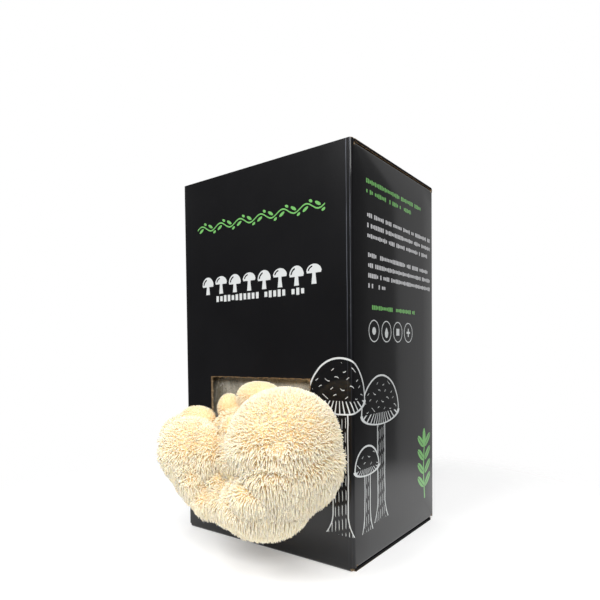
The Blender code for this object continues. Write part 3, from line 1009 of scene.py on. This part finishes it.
def spreadOut(spots):
    # the numbers of the spots that stand at least one unit from all those before them
    around = [(dx, dy, dz) for dx in (-1, 0, 1) for dy in (-1, 0, 1) for dz in (-1, 0, 1)]
    cells, kept = {}, []
    for index, (x, y, z) in enumerate(spots.tolist()):
        i, j, k = math.floor(x), math.floor(y), math.floor(z)
        near = [spot for dx, dy, dz in around for spot in cells.get((i + dx, j + dy, k + dz), ())]
        if all((x - a) ** 2 + (y - b) ** 2 + (z - c) ** 2 > 1 for a, b, c in near):
            cells.setdefault((i, j, k), []).append((x, y, z))
            kept.append(index)
    return kept


def openness(tree, spots, facing):
    # 0 deep in a crease to 1 on an open surface
    leans = [Vector((0, 0, 0))] + [Vector(v) for v in (
        (0.9, 0, 0), (-0.9, 0, 0), (0, 0, 0.9), (0, 0, -0.9), (0, -0.9, 0), (0, 0.9, 0))]
    result = np.zeros(len(spots))
    for index, (spot, normal) in enumerate(zip(spots, facing)):
        start, out = Vector(spot), Vector(normal)
        start = start + out * 0.5 * mm
        free = 0.0
        for lean in leans:
            reach = tree.ray_cast(start, (out + lean).normalized(), 22 * mm)[3]
            free += 1.0 if reach is None else reach / (22 * mm)
        result[index] = free / len(leans)
    return result


noise.seed_set(4)    # without it, noise_vector takes its seed from the clock


def noiseAt(spots, size, seed):
    shift = Vector((seed, seed * 1.7, seed * 0.3))
    return np.array([noise.noise_vector(Vector(spot) / (size * mm) + shift)[:] for spot in spots])


def spinePaths(tree, spots, facing):
    # root, bend and tip of each spine, its root radius and its tone, with painted shade that makes it
    # lower deep in creases
    m = mushroom
    draw = np.random.default_rng(9)
    count = len(spots)
    free = openness(tree, spots, facing)
    soft = np.array([velvet(Vector(spot)) for spot in spots])
    hang = np.clip((m["hangFrom"] - facing[:, 2]) / (m["hangFrom"] - m["hangFull"]), 0, 1)[:, None]
    down = np.array([0.0, 0.0, -1.0])
    lean = noiseAt(spots, 4, 2.0) * 0.3 + draw.normal(0, 1, (count, 3)) * (0.4 - 0.28 * hang)
    length = m["short"] + (m["long"] - m["short"]) * hang[:, 0]
    length *= 1 - m["velvet"] * soft
    length *= draw.uniform(0.78, 1.04, count) * (1 + 0.1 * noiseAt(spots, 6, 8.0)[:, 0])
    thick = m["rootRadius"] * (1 - 0.45 * soft) * draw.uniform(0.8, 1.15, count)
    for middle, radius in pits:
        offset = spots - np.array(middle) * mm
        away = np.linalg.norm(offset, axis=1) / (radius * 2.6 * mm)
        near = np.clip(1 - away, 0, 1)
        length *= 1 - 0.85 * near
        lean += offset / (np.linalg.norm(offset, axis=1)[:, None] + 1e-9) * near[:, None] * 1.2
    pull = 0.88 * hang ** 0.7 * (1 - 0.5 * soft[:, None])
    start = facing * (1 - 0.3 * hang) + down * 0.3 * hang + lean * 0.5
    start /= np.linalg.norm(start, axis=1)[:, None]
    end = facing * (1 - pull) + down * pull + lean * (1.1 - 0.85 * hang)
    end /= np.linalg.norm(end, axis=1)[:, None]
    for index in range(count):
        reach = tree.ray_cast(Vector(spots[index] + facing[index] * 0.4 * mm), Vector(end[index]),
                              3 * m["long"])[3]
        if reach is not None:
            length[index] = min(length[index], max(0.45 * reach, 0.8 * mm))
    root = spots - facing * 0.5 * mm
    tip = spots + end * length[:, None]
    bend = spots + start * (length * 0.42)[:, None]
    # the tone falls with the openness: spines deep in creases are painted darker and more ochre, painted
    # shade under a random tone
    toneAndShade = np.clip(0.95 * free - 0.06 + draw.normal(0, 0.07, count) - 0.3 * soft
                   + 0.12 * noiseAt(spots, 14, 4.0)[:, 1], 0.02, 0.98)
    return root, bend, tip, thick, toneAndShade


def spineShape():
    # one straight spine of four sides: rings at these shares of its length, and a closed tip
    shares, sides = (0.0, 0.36, 0.7, 0.92), 4
    bm = bmesh.new()
    made = bmesh.ops.create_circle(bm, cap_ends=False, segments=sides, radius=1)
    ring = [e for e in bm.edges]
    for share in shares[1:]:
        ring = bmesh.ops.extrude_edge_only(bm, edges=ring)["geom"]
        for vert in (g for g in ring if isinstance(g, bmesh.types.BMVert)):
            vert.co.z = share
        ring = [g for g in ring if isinstance(g, bmesh.types.BMEdge)]
    cap = bmesh.ops.extrude_edge_only(bm, edges=ring)["geom"]
    capVerts = [g for g in cap if isinstance(g, bmesh.types.BMVert)]
    bmesh.ops.pointmerge(bm, verts=capVerts, merge_co=(0, 0, 1))
    bmesh.ops.recalc_face_normals(bm, faces=bm.faces)
    bm.verts.ensure_lookup_table()
    bm.verts.index_update()
    points = np.array([v.co[:] for v in bm.verts])
    faces = [[v.index for v in f.verts] for f in bm.faces]
    bm.free()
    return points, faces


def unit(vectors):
    return vectors / (np.linalg.norm(vectors, axis=1)[:, None] + 1e-12)


def joinedSpines(name, paths, material):
    # every spine of one piece as one mesh, with its tone and painted crease shade and its root-to-tip
    # share in the UVs
    root, bend, tip, thick, toneAndShade = paths
    points, faces = spineShape()
    count, each = len(root), len(points)
    share = points[:, 2]
    radius = (1 - share) * (1 - mushroom["tipShare"]) + mushroom["tipShare"]
    radius = np.where(share > 0.99, 0.0, radius)
    t = share[None, :, None]
    line = (root[:, None] * (1 - t) ** 2 + 2 * bend[:, None] * t * (1 - t) + tip[:, None] * t ** 2)
    along = unit(tip - root)
    helper = np.where(np.abs(along[:, 2:3]) > 0.9, [[1.0, 0.0, 0.0]], [[0.0, 0.0, 1.0]])
    sideways = unit(np.cross(along, helper))
    other = np.cross(along, sideways)
    turn = np.random.default_rng(3).uniform(0, math.pi / 2, count)
    first = sideways * np.cos(turn)[:, None] + other * np.sin(turn)[:, None]
    second = np.cross(along, first)
    flat = points[:, :2] / (np.linalg.norm(points[:, :2], axis=1)[:, None] + 1e-9)
    ring = flat[None, :, 0:1] * first[:, None] + flat[None, :, 1:2] * second[:, None]
    verts = line + ring * (radius[None, :, None] * thick[:, None, None])
    mesh = bpy.data.meshes.new(name)
    corners = np.concatenate([np.array(f) for f in faces])
    sizes = np.array([len(f) for f in faces])
    allCorners = (corners[None] + np.arange(count)[:, None] * each).ravel()
    mesh.vertices.add(count * each)
    mesh.vertices.foreach_set("co", verts.ravel())
    mesh.loops.add(len(allCorners))
    mesh.loops.foreach_set("vertex_index", allCorners)
    mesh.polygons.add(len(sizes) * count)
    starts = np.concatenate([[0], np.cumsum(np.tile(sizes, count))[:-1]])
    mesh.polygons.foreach_set("loop_start", starts)
    mesh.update(calc_edges=True)
    mesh.validate()
    layer = mesh.uv_layers.new(name="OFBake")
    uv = np.stack([np.repeat(toneAndShade, len(corners)), np.tile(share[corners], count)], axis=1)
    layer.data.foreach_set("uv", uv.ravel())
    mesh.shade_smooth()
    return newObject(name, mesh, [material])


def spineFlesh():
    # cream tips over ochre roots, partly the spines' own colour and partly painted shade between them: u
    # is the spine's tone with painted crease shade, v runs from root to tip
    sheet = Sheet("spine_flesh")
    uv = sheet.node("UVMap", {"uv_map": "OFBake"})
    parts = sheet.node("SeparateXYZ", {}, {0: uv})
    names = parts.socket.node.outputs
    toneAndShade, share = Wire(sheet, names["X"]), Wire(sheet, names["Y"])
    root = sheet.mix(toneAndShade, tint(210, 160, 98), tint(246, 218, 170))
    tip = sheet.mix(toneAndShade, tint(246, 219, 172), tint(255, 243, 214))
    colour = sheet.mix(share.ramp(0.0, 0.62), root, tip)
    return sheet.shade(Base_Color=colour, Roughness=0.72, Specular_IOR_Level=0.28,
                       Subsurface_Weight=0.45, Subsurface_Radius=(1.0, 0.7, 0.42),
                       Subsurface_Scale=1.8 * mm)


def bareFlesh():
    # the body between the spines: ochre, softly pitted
    sheet = Sheet("bare_flesh")
    fine = sheet.grain(1.4, 3)
    broad = sheet.grain(12, 3)
    colour = sheet.mix(fine.ramp(0.3, 0.7), tint(232, 194, 138), tint(248, 224, 180))
    colour = sheet.mix(broad.ramp(0.5, 0.8) * 0.5, colour, tint(250, 234, 200))
    return sheet.shade(Base_Color=colour, Roughness=0.8, Specular_IOR_Level=0.25,
                       Subsurface_Weight=0.25, Subsurface_Radius=(1.0, 0.6, 0.3),
                       Subsurface_Scale=2 * mm,
                       Normal=sheet.bump(fine, 0.6 * mm, 0.7))


print("mushroom")
flesh = makeFlesh()
flesh.data.materials.append(bareFlesh())
fleshMesh = bmesh.new()
fleshMesh.from_mesh(flesh.data)
fleshTree = BVHTree.FromBMesh(fleshMesh)
fleshMesh.free()
finishPiece(flesh, "kit", "mushroom_flesh", "mushroom")
rootSpots, rootFacing = plantRoots(fleshTree, flesh.data)
print(f"{len(rootSpots)} spines")
allPaths = spinePaths(fleshTree, rootSpots, rootFacing)
spineMaterial = spineFlesh()
order = np.argsort(rootSpots[:, 0])
for number, start in enumerate(range(0, len(order), mushroom["perPiece"])):
    part = order[start:start + mushroom["perPiece"]]
    spines = joinedSpines(f"spines_{number + 1}", [values[part] for values in allPaths],
                          spineMaterial)
    finishPiece(spines, "kit", "mushroom_flesh")


# Studio: pale floor, soft lights, and the camera where the photograph was taken from
studio = {
    "floor": 0.34, "floorSolid": 0.2,   # radius, and where it starts to fade into the background
    "background": 1.0,
    "darkSide": 25.8,      # degrees from +Y towards +X at which the bright back wall ends
    "floorGlow": 0.28,     # light that the floor itself gives, so its shadows stay faint
    "bright": 0.5, "dim": 0.09, "roof": 0.85, "roofFrom": 0.55, "roofFull": 0.8,
    "key": {"turn": 48, "rise": 42, "away": 1.5, "size": 1.0, "power": 24.5},
    "left": {"turn": -80, "rise": 38, "away": 1.4, "size": 0.8, "power": 1.5},
    "sheen": {"turn": -14, "rise": 43, "away": 1.5, "size": 0.6, "power": 15.5},
}
camera = {
    "eye": (0.23383, -0.33109, 0.13734), "yaw": -36.54, "pitch": -1.77, "roll": -0.60,
    "lens": 30.46, "shift": 0.112,
}


def makeFloor():
    # a round of pale floor that fades out into the white background
    sheet = Sheet("pale_floor")
    x, y, z = sheet.place()
    away = (x * x + y * y) ** 0.5
    solid = away.ramp(studio["floor"] / mm, studio["floorSolid"] / mm)
    material = sheet.shade(Base_Color=tint(224, 224, 224), Roughness=0.7, Specular_IOR_Level=0.1,
                           Emission_Color=tint(255, 255, 255), Emission_Strength=studio["floorGlow"],
                           Alpha=solid)
    bm = bmesh.new()
    bmesh.ops.create_circle(bm, cap_ends=True, segments=96, radius=studio["floor"])
    floor = objectFrom("floor", bm, [material])


def makeWorld():
    world = bpy.data.worlds.new("studio")
    world.use_nodes = True
    bpy.context.scene.world = world
    sheet = Sheet.__new__(Sheet)
    sheet.tree = world.node_tree
    sheet.tree.nodes.clear()
    look = sheet.node("SeparateXYZ", {}, {0: sheet.node("TexCoord", out="Generated")})
    names = look.socket.node.outputs
    x, y, z = (Wire(sheet, names[axis]) for axis in "XYZ")
    edge = math.radians(studio["darkSide"])
    past = x * math.cos(edge) - y * math.sin(edge)
    wall = y.ramp(-0.15, 0.2) * past.ramp(0.005, -0.005)
    roof = z.ramp(studio["roofFrom"], studio["roofFull"]) * studio["roof"]
    level = studio["dim"] + (studio["bright"] - studio["dim"]) * wall.most(roof)
    seen = sheet.node("LightPath", out="Is Camera Ray")
    strength = level + (studio["background"] - level) * seen
    light = sheet.node("Background", {}, {"Color": (1.0, 1.0, 1.0, 1.0), "Strength": strength})
    sheet.node("OutputWorld", {}, {"Surface": light})


def makeLight(name):
    # turn runs from -Y towards +X, rise upwards, both in degrees
    light = studio[name]
    turn, rise = math.radians(light["turn"]), math.radians(light["rise"])
    target = Vector((0, -0.05, 0.11))
    outward = Vector((math.sin(turn) * math.cos(rise), -math.cos(turn) * math.cos(rise), math.sin(rise)))
    data = bpy.data.lights.new(name, "AREA")
    data.shape = "SQUARE"
    data.size = light["size"]
    data.energy = light["power"]
    lamp = bpy.data.objects.new(name, data)
    bpy.context.scene.collection.objects.link(lamp)
    lamp.location = target + outward * light["away"]
    lamp.rotation_euler = outward.to_track_quat("Z", "Y").to_euler()


def makeCamera():
    data = bpy.data.cameras.new("camera")
    data.sensor_width = 36
    data.lens = camera["lens"]
    data.shift_y = camera["shift"]
    data.clip_start = 0.01
    data.clip_end = 50
    obj = bpy.data.objects.new("camera", data)
    bpy.context.scene.collection.objects.link(obj)
    yaw, pitch, roll = (math.radians(camera[key]) for key in ("yaw", "pitch", "roll"))
    turn = (Matrix.Rotation(-yaw, 3, "Z") @ Matrix.Rotation(math.pi / 2 + pitch, 3, "X")
            @ Matrix.Rotation(roll, 3, "Z"))
    obj.matrix_world = Matrix.Translation(camera["eye"]) @ turn.to_4x4()
    bpy.context.scene.camera = obj


print("studio")
makeFloor()
makeWorld()
for lampName in ("key", "left", "sheen"):
    makeLight(lampName)
makeCamera()
bpy.context.scene.view_settings.view_transform = "Standard"
